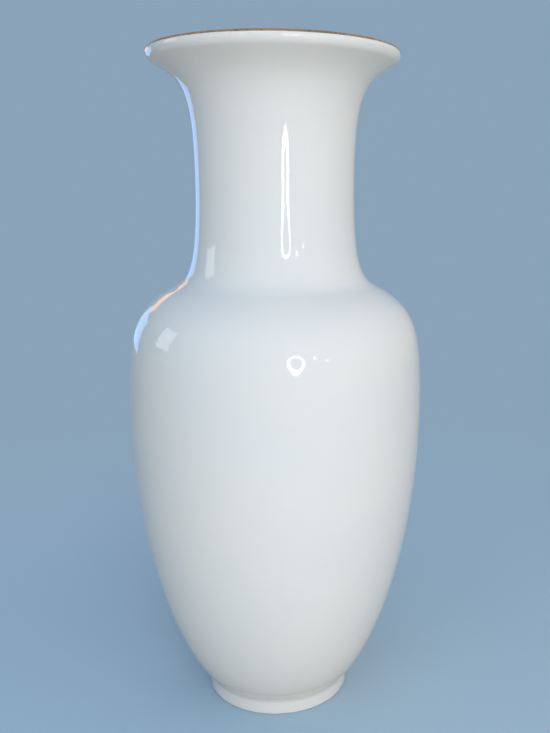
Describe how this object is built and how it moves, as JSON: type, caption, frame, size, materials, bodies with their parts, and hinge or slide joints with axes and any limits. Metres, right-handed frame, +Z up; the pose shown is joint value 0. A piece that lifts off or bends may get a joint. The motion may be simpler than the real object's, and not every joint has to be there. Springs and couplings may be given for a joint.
{
  "type": "porcelain vase",
  "caption": "Tall white glazed porcelain baluster vase with round shoulders, a wide waisted neck, a trumpet mouth with a gilt rolled lip, and a small foot ring; holds flowers and water.",
  "frame": {"origin": "on the floor under the middle of the foot ring", "axes": "+Z up along the vase's axis, towards the mouth; X and Y are free, because the vase is round"},
  "size_m": [0.1805, 0.1804, 0.4],
  "materials": {
    "glaze": "clear glossy glaze over white porcelain, faintly cool",
    "porcelain": "bare fired porcelain, matt and slightly warm",
    "slip": "fired slip, matt",
    "gilt": "burnished gilding, a little worn"
  },
  "bodies": {
    "root": {"foot_ring": "porcelain", "foot_luting": "slip", "lower_body": "porcelain", "belly_luting": "slip", "upper_body": "porcelain", "neck_luting": "slip", "neck": "porcelain", "outer_glaze": "glaze", "inner_glaze": "glaze", "base_glaze": "glaze", "gilt_rim": "gilt"}
  },
  "joints": []
}
